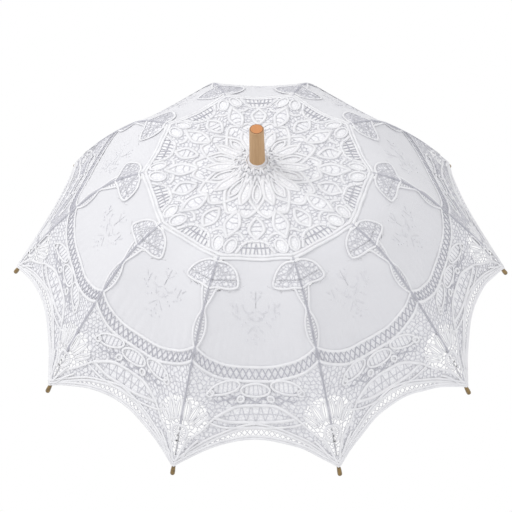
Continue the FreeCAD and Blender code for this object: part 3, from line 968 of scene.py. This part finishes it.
@dataclass(frozen=True)
class Half:
    """One half of a gore, from its rib to the middle."""

    rib: int
    side: int

    @property
    def seed(self) -> int:
        """Give a seed of its own."""
        return 31 * self.rib + (7 if self.side > 0 else 0)

    @property
    def turn(self) -> Matrix:
        """Give the turn that takes the rib along +X to this one."""
        return Matrix.Rotation(2 * RIB.half_gore * (self.rib - 1), 4, "Z")

    @property
    def name(self) -> str:
        """Give the end of the names of its pieces."""
        return f"{self.rib:02d}_{'left' if self.side > 0 else 'right'}"

    def drawing(self) -> tuple[Drawing, list[np.ndarray]]:
        """Draw the whole half gore; give it with the places of the net's knots."""
        drawing = Drawing()
        rosette, bow, border = Rosette(), Bow(), Border()
        for part in (rosette, bow, Snowflake(), border):
            part.draw(drawing)
        knots: list[np.ndarray] = []
        seam = (LAYOUT.seam_inset, LAYOUT.seam_start), (LAYOUT.seam_inset, LAYOUT.seam_end)
        drawing.add(Kind.CORD, straight(*seam))
        for part, cell, shift in ((rosette, 7.4, 1), (bow, 6.4, 2), (border, 7.2, 3)):
            net = Net(cell * MM)
            net.fill(part.outline(), drawing.holes, self.seed * 5 + shift)
            drawing.lines.extend((Kind.BAR, edge) for edge in net.edges)
            knots.extend(net.knots)
        return drawing, knots


class Zone(Enum):
    """The part of a rib that a piece of cloth follows; the value is body prefix, start, end, share kept."""

    INNER = ("rib_", -1.0, LAYOUT.split, 0.13)
    OUTER = ("rib_end_", LAYOUT.split, 1.0, 0.075)

    @property
    def prefix(self) -> str:
        """Give the start of the body's name."""
        return self.value[0]

    def room(self, line: Line) -> np.ndarray:
        """Measure how far points lie inside the zone and the half gore."""
        _, start, end, _ = self.value
        inside_half = np.minimum(line[:, 0] + 1e-6, RIB.half_width(line[:, 1]) + 1e-6 - line[:, 0])
        return np.minimum(inside_half, np.minimum(line[:, 1] - start, end - line[:, 1]))


# ------------------------------------------------------------------------------------- meshes


def filling(outline: Line, holes: Sequence[Line], half: Half, zone: Zone,
            step: float = 2.4 * MM) -> tuple[np.ndarray, np.ndarray, np.ndarray]:
    """Build a close filling: two thin layers over an outline, leaving holes open.

    Args:
        outline: the closed outline in flat coordinates.
        holes: closed outlines that stay open.
        half: the half gore it lies on.
        zone: the zone it is cut to.
        step: the size of its faces.

    Returns:
        Its points, its flat points and its faces.
    """
    low, high = outline[:, 1].min(), outline[:, 1].max()
    levels = np.linspace(low, high, max(2, math.ceil((high - low) / step) + 1))
    rows, columns = len(levels), max(2, math.ceil(RIB.half_width(levels).max() / step) + 1)
    across, along = np.meshgrid(np.linspace(0, 1, columns), levels, indexing="ij")
    flat = np.stack([across * RIB.half_width(along), along], -1).reshape(-1, 2)
    cells = np.array([(i * rows + j, (i + 1) * rows + j, (i + 1) * rows + j + 1, i * rows + j + 1)
                      for i in range(columns - 1) for j in range(rows - 1)])
    middle = flat[cells].mean(1)
    cells = cells[allowed_at(outline, holes, middle) & (zone.room(middle) > -0.5 * step)]
    layers = [CLOTH.place(flat, half.side, above)[0] for above in (0.25 * MM, -0.1 * MM)]
    upper = cells if half.side > 0 else cells[:, ::-1]
    return np.vstack(layers), np.vstack([flat, flat]), np.vstack([upper, upper[:, ::-1] + len(flat)])


class LaceTree:
    """The geometry nodes that turn drawn lines into tape, cord, bars, stitches and knots."""

    def __init__(self, paints: dict[Kind, bpy.types.Material],
                 grounds: dict[int, bpy.types.Material]) -> None:
        """Build the tree with a named width and thickness for each kind of line."""
        self.tree = bpy.data.node_groups.new("lace_from_lines", "GeometryNodeTree")
        self.tree.interface.new_socket("Geometry", in_out="INPUT", socket_type="NodeSocketGeometry")
        for kind in Kind:
            for what in ("width", "thickness"):
                self.tree.interface.new_socket(f"{kind.name} {what}", in_out="INPUT",
                                               socket_type="NodeSocketFloat")
        self.tree.interface.new_socket("Knot radius", in_out="INPUT", socket_type="NodeSocketFloat")
        self.tree.interface.new_socket("Geometry", in_out="OUTPUT", socket_type="NodeSocketGeometry")
        self.inlet = self._add("NodeGroupInput")
        joined = self._add("GeometryNodeJoinGeometry")
        for index, kind in enumerate(Kind):
            self._link(self._swept(index, kind, paints[kind]), joined.inputs[0])
        self._link(self._knots(KNOT_POINT, paints[Kind.BAR]), joined.inputs[0])
        for point, paint in grounds.items():
            self._link(self._painted(self._chosen(point), paint), joined.inputs[0])
        self._link(joined.outputs[0], self._add("NodeGroupOutput").inputs[0])

    def _add(self, kind: str, **settings: Any) -> bpy.types.Node:
        """Add a node with settings."""
        node = self.tree.nodes.new(kind)
        for name, value in settings.items():
            setattr(node, name, value)
        return node

    def _link(self, out: bpy.types.NodeSocket, into: bpy.types.NodeSocket) -> None:
        """Join two sockets."""
        self.tree.links.new(out, into)

    def _chosen(self, index: int) -> bpy.types.NodeSocket:
        """Keep the points whose kind is one number."""
        read = self._add("GeometryNodeInputNamedAttribute", data_type="INT")
        read.inputs["Name"].default_value = "kind"
        same = self._add("FunctionNodeCompare", data_type="INT", operation="EQUAL")
        whole = [socket for socket in same.inputs if socket.type == "INT"]
        self._link(read.outputs["Attribute"], whole[0])
        whole[1].default_value = index
        apart = self._add("GeometryNodeSeparateGeometry", domain="POINT")
        self._link(self.inlet.outputs["Geometry"], apart.inputs["Geometry"])
        self._link(same.outputs["Result"], apart.inputs["Selection"])
        return apart.outputs["Selection"]

    def _store(self, shape: bpy.types.NodeSocket, name: str,
               value: bpy.types.NodeSocket) -> bpy.types.NodeSocket:
        """Keep a number at each point under a name."""
        store = self._add("GeometryNodeStoreNamedAttribute", data_type="FLOAT", domain="POINT")
        store.inputs["Name"].default_value = name
        self._link(shape, store.inputs["Geometry"])
        self._link(value, store.inputs["Value"])
        return store.outputs["Geometry"]

    def _painted(self, shape: bpy.types.NodeSocket, paint: bpy.types.Material) -> bpy.types.NodeSocket:
        """Give a shape its material."""
        node = self._add("GeometryNodeSetMaterial")
        node.inputs["Material"].default_value = paint
        self._link(shape, node.inputs["Geometry"])
        return node.outputs["Geometry"]

    def _swept(self, index: int, kind: Kind, paint: bpy.types.Material) -> bpy.types.NodeSocket:
        """Sweep a flat profile along the lines of one kind, face up on the cloth."""
        width, thickness = (self.inlet.outputs[f"{kind.name} {what}"] for what in ("width", "thickness"))
        curve = self._add("GeometryNodeMeshToCurve")
        self._link(self._chosen(index), curve.inputs["Mesh"])
        facing = self._add("GeometryNodeInputNamedAttribute", data_type="FLOAT_VECTOR")
        facing.inputs["Name"].default_value = "facing"
        upright = self._add("GeometryNodeSetCurveNormal", mode="FREE")
        self._link(curve.outputs[0], upright.inputs["Curve"])
        self._link(facing.outputs["Attribute"], upright.inputs["Normal"])
        travelled = self._add("GeometryNodeSplineParameter").outputs["Length"]
        path = self._store(upright.outputs[0], "along", travelled)
        profile = self._add("GeometryNodeCurvePrimitiveQuadrilateral")
        self._link(thickness, profile.inputs["Width"])
        self._link(width, profile.inputs["Height"])
        split = self._add("ShaderNodeSeparateXYZ")
        self._link(self._add("GeometryNodeInputPosition").outputs[0], split.inputs[0])
        share = self._add("ShaderNodeMath", operation="DIVIDE")
        self._link(split.outputs["Y"], share.inputs[0])
        self._link(width, share.inputs[1])
        centred = self._add("ShaderNodeMath", operation="ADD")
        self._link(share.outputs[0], centred.inputs[0])
        centred.inputs[1].default_value = 0.5
        sweep = self._add("GeometryNodeCurveToMesh")
        sweep.inputs["Fill Caps"].default_value = True
        self._link(path, sweep.inputs["Curve"])
        section = self._store(profile.outputs[0], "across", centred.outputs[0])
        self._link(section, sweep.inputs["Profile Curve"])
        return self._painted(sweep.outputs[0], paint)

    def _knots(self, index: int, paint: bpy.types.Material) -> bpy.types.NodeSocket:
        """Set a small knot on each loose point."""
        ball = self._add("GeometryNodeMeshIcoSphere")
        ball.inputs["Subdivisions"].default_value = 1
        self._link(self.inlet.outputs["Knot radius"], ball.inputs["Radius"])
        spread = self._add("GeometryNodeInstanceOnPoints")
        self._link(self._chosen(index), spread.inputs["Points"])
        self._link(ball.outputs["Mesh"], spread.inputs["Instance"])
        real = self._add("GeometryNodeRealizeInstances")
        self._link(spread.outputs[0], real.inputs[0])
        return self._painted(real.outputs[0], paint)

    def apply(self, source: bpy.types.Mesh, name: str) -> bpy.types.Object:
        """Run the tree on a mesh of lines and give a plain mesh object."""
        lines = bpy.data.objects.new(f"{name}_lines", source)
        bpy.context.scene.collection.objects.link(lines)
        modifier = lines.modifiers.new("lace", "NODES")
        modifier.node_group = self.tree
        sockets = {item.name: item.identifier for item in self.tree.interface.items_tree
                   if item.in_out == "INPUT"}
        for kind in Kind:
            for what, value in zip(("width", "thickness"), kind.value):
                modifier[sockets[f"{kind.name} {what}"]] = value
        modifier[sockets["Knot radius"]] = 0.62 * MM
        lines.update_tag()
        done = lines.evaluated_get(bpy.context.evaluated_depsgraph_get())
        mesh = bpy.data.meshes.new_from_object(done)
        mesh.name = name
        bpy.data.objects.remove(lines, do_unlink=True)
        made = bpy.data.objects.new(name, mesh)
        bpy.context.scene.collection.objects.link(made)
        return made


def lace_piece(half: Half, zone: Zone, drawing: Drawing, knots: Sequence[np.ndarray],
               tree: LaceTree) -> bpy.types.Object:
    """Build the lace of one half gore in one zone.

    Args:
        half: which rib and side.
        zone: which part of the rib it follows.
        drawing: the flat pattern.
        knots: where the net's knots are.
        tree: the geometry nodes.

    Returns:
        The mesh object, turned to its rib.
    """
    points: list[np.ndarray] = []
    facings: list[np.ndarray] = []
    kinds: list[int] = []
    edges: list[tuple[int, int]] = []
    order = list(Kind)
    for place, (kind, line) in enumerate(drawing.lines):
        above = ABOVE[kind] + (place % 7) * 0.05 * MM
        for part in keep_where(line, zone.room):
            moved = CLOTH.stray(part, half.seed)
            laid, facing = CLOTH.place(moved, half.side, above)
            first = len(kinds)
            points.append(laid)
            facings.append(facing)
            edges.extend((first + i, first + i + 1) for i in range(len(laid) - 1))
            kinds.extend([order.index(kind)] * len(laid))
    loose = np.array(knots)
    loose = loose[zone.room(loose) > 0]
    laid, facing = CLOTH.place(CLOTH.stray(loose, half.seed), half.side, ABOVE[Kind.BAR])
    points.append(laid)
    facings.append(facing)
    kinds.extend([KNOT_POINT] * len(laid))
    flats = [np.zeros((len(kinds), 2))]
    faces: list[tuple[int, ...]] = []
    for outline, holes, ground in drawing.grounds:
        laid, flat, cells = filling(outline, holes, half, zone)
        faces.extend(tuple(int(n) for n in cell) for cell in cells + len(kinds))
        kinds.extend([ground] * len(laid))
        points.append(laid)
        facings.append(laid)
        flats.append(flat)
    mesh = bpy.data.meshes.new("lines")
    mesh.from_pydata(np.vstack(points), edges, faces)
    facing_data = mesh.attributes.new("facing", "FLOAT_VECTOR", "POINT").data
    facing_data.foreach_set("vector", np.vstack(facings).ravel())
    mesh.attributes.new("kind", "INT", "POINT").data.foreach_set("value", kinds)
    for name, column in (("across", 0), ("along", 1)):
        mesh.attributes.new(name, "FLOAT", "POINT").data.foreach_set("value", np.vstack(flats)[:, column])
    made = tree.apply(mesh, f"lace_{zone.name.lower()}_{half.name}")
    made.data.transform(half.turn)
    return made


def trimmed(count: int, rim: float = 0.002) -> np.ndarray:
    """Give even shares from 0 to 1 with a narrow strip at both ends, so that a rim's shading stays narrow."""
    return np.concatenate([[0.0], np.linspace(rim, 1 - rim, count), [1.0]])


@dataclass(frozen=True)
class ClothPiece:
    """Plain cotton of one half gore in one zone: two thin layers joined at their rim."""

    half: Half
    zone: Zone
    thickness: float = 0.4 * MM
    step: float = 3.6 * MM
    columns: int = 26
    collar_cut: float = 30 * MM
    edge_levels: tuple[float, ...] = (163, 169, 178, 192, 204, 207.6, 208.6, 221, 238, 252, 268, 281,
                                      293, 334)
    edge_insets: tuple[float, ...] = (7, 13, 26, 36, 39, 37.5, 11, 7.5, 2.4, 6.8, 9.2, 7.5, 0.2, 0.2)

    def panel(self, start: float, end: float) -> np.ndarray:
        """Give a grid of flat points over the panel, from one share of its length to another."""
        rows = max(3, int((end - start) * (LAYOUT.panel_foot - LAYOUT.panel_top) / self.step))
        shares = start + (end - start) * trimmed(rows)
        share, across = np.meshgrid(shares, trimmed(self.columns), indexing="ij")
        along = LAYOUT.panel_top + share * (LAYOUT.foot(across) + 2 * MM - LAYOUT.panel_top)
        edge = np.interp(along / MM, self.edge_levels, self.edge_insets) * MM
        width = RIB.half_width(along)
        return np.stack([edge + across * (width - edge), along], -1)

    def collar(self) -> np.ndarray:
        """Give a grid of flat points over the gathered collar under the ferrule."""
        levels = np.linspace(LAYOUT.collar, LAYOUT.collar_end, 14)
        along, across = np.meshgrid(levels, np.linspace(0, 1, 14), indexing="ij")
        return np.stack([across * RIB.half_width(along), along], -1)

    def grids(self) -> list[np.ndarray]:
        """Give the piece's flat grids."""
        whole = LAYOUT.panel_foot - LAYOUT.panel_top
        cut = (LAYOUT.split - LAYOUT.panel_top) / whole
        if self.zone is Zone.INNER:
            return [self.collar(), self.panel(0.0, cut)]
        return [self.panel(cut, 1.0)]

    def pucker(self, flat: np.ndarray) -> np.ndarray:
        """Give how far the cloth stands up in small gathers along its sewn edges."""
        across = flat[:, 0] / np.maximum(RIB.half_width(flat[:, 1]), 1e-6)
        from_foot = np.clip(LAYOUT.foot(across) - flat[:, 1], 0, None)
        from_top = np.clip(flat[:, 1] - LAYOUT.panel_top, 0, None)
        rng = random.Random(self.half.seed + 3)
        phase, drift = rng.uniform(0, 6), rng.uniform(0.7, 1.3)
        wave = np.sin(flat[:, 0] / (1.9 * MM * drift) + phase + 1.6 * np.sin(flat[:, 0] / (9 * MM)))
        near = 1.3 * np.exp(-from_foot / (18 * MM)) * (1 - np.exp(-from_foot / (5 * MM)))
        near += 0.5 * np.exp(-from_top / (8 * MM)) * (1 - np.exp(-from_top / (4 * MM)))
        slack = 0.55 * np.sin(flat[:, 1] / (31 * MM) + phase) * np.sin(across * math.pi)
        held = np.sin(np.clip(np.minimum(across, 1 - across) * 8, 0, 1) * math.pi / 2) ** 2
        return (near * wave + slack * np.sin(across * math.pi)) * held * MM

    def build(self, paint: bpy.types.Material) -> tuple[bpy.types.Object, float, tuple[float, float]]:
        """Build the piece.

        Args:
            paint: its material.

        Returns:
            The object, its flat area, and the width and length it is cut from.
        """
        points: list[np.ndarray] = []
        faces: list[tuple[int, ...]] = []
        rounded: list[bool] = []
        flats: list[np.ndarray] = []
        area = 0.0
        for grid in self.grids():
            rows, columns = grid.shape[:2]
            flat = grid.reshape(-1, 2)
            rise = self.pucker(flat) if grid[0, 0, 1] > 100 * MM else 0 * flat[:, 0]
            start = sum(len(chunk) for chunk in points)
            for above in (self.thickness / 2, -self.thickness / 2):
                laid, facing = CLOTH.place(flat, self.half.side, above)
                points.append(laid + facing * rise[:, None])
                flats.append(flat)
            low = rows * columns
            cells = [(i * columns + j, i * columns + j + 1, (i + 1) * columns + j + 1, (i + 1) * columns + j)
                     for i in range(rows - 1) for j in range(columns - 1)]
            top = [tuple(start + n for n in cell) for cell in cells]
            under = [tuple(start + low + n for n in reversed(cell)) for cell in cells]
            rim = [i for i in range(columns)] + [i * columns + columns - 1 for i in range(1, rows)]
            rim += [(rows - 1) * columns + j for j in range(columns - 2, -1, -1)]
            rim += [i * columns for i in range(rows - 2, 0, -1)]
            walls = [(start + a, start + low + a, start + low + b, start + b)
                     for a, b in zip(rim, rim[1:] + rim[:1])]
            shape = top + under + walls
            rounded.extend([True] * (len(top) + len(under)) + [False] * len(walls))
            faces.extend(shape if self.half.side < 0 else [cell[::-1] for cell in shape])
            steps = grid[1:, :-1] - grid[:-1, :-1], grid[:-1, 1:] - grid[:-1, :-1]
            area += float(np.abs(np.cross(steps[0], steps[1])).sum())
        mesh = bpy.data.meshes.new(f"cotton_{self.zone.name.lower()}_{self.half.name}")
        mesh.from_pydata(np.vstack(points), [], faces)
        flat = np.vstack(flats)
        for name, column in (("across", 0), ("along", 1)):
            mesh.attributes.new(name, "FLOAT", "POINT").data.foreach_set("value", flat[:, column])
        mesh.materials.append(paint)
        mesh.transform(self.half.turn)
        mesh.polygons.foreach_set("use_smooth", rounded)
        mesh.update()
        made = bpy.data.objects.new(mesh.name, mesh)
        bpy.context.scene.collection.objects.link(made)
        panel = self.grids()[-1]
        collar = self.collar_cut if self.zone is Zone.INNER else 0
        size = (float(panel[..., 0].max()), float(np.ptp(panel[..., 1])) + collar)
        return made, area, size


@dataclass
class Canopy:
    """The whole cover: on each rib, left and right, cotton and lace for the rib and for its outer end."""

    cotton: Cotton = Cotton()
    tape: WovenTape = WovenTape("lace_tape")
    thread: TwistedThread = TwistedThread("lace_thread")
    silk: TwistedThread = TwistedThread("embroidery_thread", (0.87, 0.87, 0.89), (0.72, 0.72, 0.76))
    # painted shade: the cords' two greys, darker than the white thread they are, stand in for the shade on and under
    # them
    cord: TwistedThread = TwistedThread("corded_thread", (0.66, 0.66, 0.70), (0.46, 0.46, 0.52))

    def fold(self, piece: bpy.types.Object, half: Half, zone: Zone) -> None:
        """Make a piece follow its rib: hang it on the rib's body, with a mesh of its own."""
        _, start, end, keep = zone.value
        start, end = max(start, 0.0), min(end, RIB.length)
        (inner, outer), (high, low), _ = RIB.at(np.array([start, end]))
        along = Vector((outer - inner, 0, low - high)).normalized()
        anchor = Vector(((inner + outer) / 2, 0, (high + low) / 2))
        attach(piece, f"{zone.prefix}{half.rib:02d}")
        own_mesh(piece)

    def build(self) -> None:
        """Build every piece of the cover."""
        cotton, tape, thread, silk, cord = (finish.dress() for finish in
                                            (self.cotton, self.tape, self.thread, self.silk, self.cord))
        paints = {Kind.TAPE: tape, Kind.NARROW: tape, Kind.CORD: cord, Kind.BAR: thread, Kind.STITCH: silk,
                  Kind.KNOT: silk}
        tulle = NeedleFilling("fine_tulle", (0.93, 0.93, 0.94), (0.80, 0.80, 0.84), 1.6 * MM)
        grounds = {FILLING_POINT: NeedleFilling().dress(), TULLE_POINT: tulle.dress()}
        tree = LaceTree(paints, grounds)
        ribs = range(1, RIB.count + 1)
        for half in (Half(rib, side) for rib in ribs for side in (1, -1)):
            drawing, knots = half.drawing()
            for zone in Zone:
                lace = lace_piece(half, zone, drawing, knots, tree)
                sheet, area, size = ClothPiece(half, zone).build(cotton)
                for piece in (lace, sheet):
                    self.fold(piece, half, zone)
                if half.rib == 1 and half.side == 1 and zone is Zone.INNER:
                    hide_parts("canopy")
                log.info("%s: %d faces of lace, %d of cotton", half.name, len(lace.data.polygons),
                         len(sheet.data.polygons))


@dataclass
class Frame:
    """The stick, its fittings, the ribs and stretchers, which keep their own shapes."""

    ferrule_top: float = 626.7 * MM
    brass: Metal = Metal("aged_brass", (0.62, 0.50, 0.28), (0.30, 0.23, 0.12))
    steel: Metal = Metal("zinc_steel", (0.74, 0.74, 0.75), (0.50, 0.50, 0.52), 0.5, 0.7)
    nickel: Metal = Metal("dull_nickel", (0.55, 0.54, 0.51), (0.30, 0.29, 0.27), 0.3)

    def dress(self, nodes: dict[str, bpy.types.Object]) -> None:
        """Give every node its material."""
        stick = TurnedWood("stick_wood").dress()
        end = TurnedWood("ferrule_wood", end_level=self.ferrule_top - 0.35 * MM, end_radius=9.9 * MM).dress()
        brass, steel, nickel, cap = (finish.dress() for finish in
                                     (self.brass, self.steel, self.nickel, Varnish()))
        paints = {"shaft": stick, "handle": stick, "ferrule": end, "notch_wire": nickel,
                  "runner_wire": nickel, "notch": brass, "runner": brass, "rib_bridge": brass, "rib": steel, "stretcher": steel,
                  "tip_cap": cap, "top_catch": nickel, "bottom_catch": nickel}
        for name, node in nodes.items():
            found = [paint for start, paint in sorted(paints.items(), key=lambda item: -len(item[0]))
                     if name.startswith(start)]
            for slot in node.material_slots if found else ():
                slot.material = found[0]
            log.info("%s is %s", name, found[0].name if found else "left")


@dataclass
class Studio:
    """White floor, soft light and the camera over the dome."""

    lens: float = 108.32
    distance: float = 2.4728
    elevation: float = math.radians(50.694)
    yaw: float = math.radians(2.0247)
    roll: float = math.radians(1.435)
    aside: float = -0.00549
    level: float = 0.33423

    def camera(self) -> None:
        """Set the camera."""
        right = Vector((math.cos(self.yaw), math.sin(self.yaw), 0))
        level = math.cos(self.elevation)
        back = Vector((math.sin(self.yaw) * level, -math.cos(self.yaw) * level, math.sin(self.elevation)))
        up = back.cross(right)
        level_x = math.cos(self.roll) * right - math.sin(self.roll) * up
        level_y = math.sin(self.roll) * right + math.cos(self.roll) * up
        target = right * self.aside + Vector((0, 0, self.level))
        data = bpy.data.cameras.new("camera")
        data.lens = self.lens
        data.clip_end = 30
        made = bpy.data.objects.new("camera", data)
        bpy.context.scene.collection.objects.link(made)
        turn = Matrix((level_x, level_y, back)).transposed().to_4x4()
        made.matrix_world = Matrix.Translation(target + back * self.distance) @ turn
        bpy.context.scene.camera = made

    def lamp(self, name: str, place: Sequence[float], size: float, energy: float, tint: Colour) -> None:
        """Hang a soft square lamp that faces the dome."""
        data = bpy.data.lights.new(name, "AREA")
        data.size = size
        data.energy = energy
        data.color = tint
        made = bpy.data.objects.new(name, data)
        bpy.context.scene.collection.objects.link(made)
        made.location = place
        made.rotation_euler = (Vector(place) - Vector((0, 0, 0.45))).to_track_quat("Z", "Y").to_euler()

    def floor(self) -> None:
        """Lay a white floor that shines evenly."""
        paint = Paint("white_floor")
        paint.shader.inputs["Base Color"].default_value = (0, 0, 0, 1)
        paint.shader.inputs["Emission Color"].default_value = (1, 1, 1, 1)
        paint.shader.inputs["Emission Strength"].default_value = 1.0
        paint.shader.inputs["Specular IOR Level"].default_value = 0.0
        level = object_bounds()[0].z - 1 * MM
        mesh = bpy.data.meshes.new("floor")
        mesh.from_pydata([(-9, -9, level), (9, -9, level), (9, 9, level), (-9, 9, level)], [], [(0, 1, 2, 3)])
        mesh.materials.append(paint.material)
        made = bpy.data.objects.new("floor", mesh)
        bpy.context.scene.collection.objects.link(made)
        made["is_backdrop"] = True

    def build(self) -> None:
        """Set the whole studio."""
        scene = bpy.context.scene
        scene.view_settings.view_transform = "Standard"
        world = bpy.data.worlds.new("studio")
        world.use_nodes = True
        world.node_tree.nodes["Background"].inputs["Color"].default_value = (1, 1, 1, 1)
        world.node_tree.nodes["Background"].inputs["Strength"].default_value = 0.92
        scene.world = world
        self.lamp("key", (-1.5, 0.5, 2.3), 0.9, 20.0, (1.0, 0.995, 0.985))
        self.lamp("fill", (1.6, -1.8, 1.8), 1.6, 6.0, (0.97, 0.98, 1.0))
        self.floor()
        self.camera()


def main() -> None:
    """Build the parasol and its studio."""
    logging.basicConfig(level=logging.INFO, format="%(name)s: %(message)s")
    Frame().dress(frame["nodes"])
    Canopy().build()
    Studio().build()


if __name__ == "__main__":
    main()
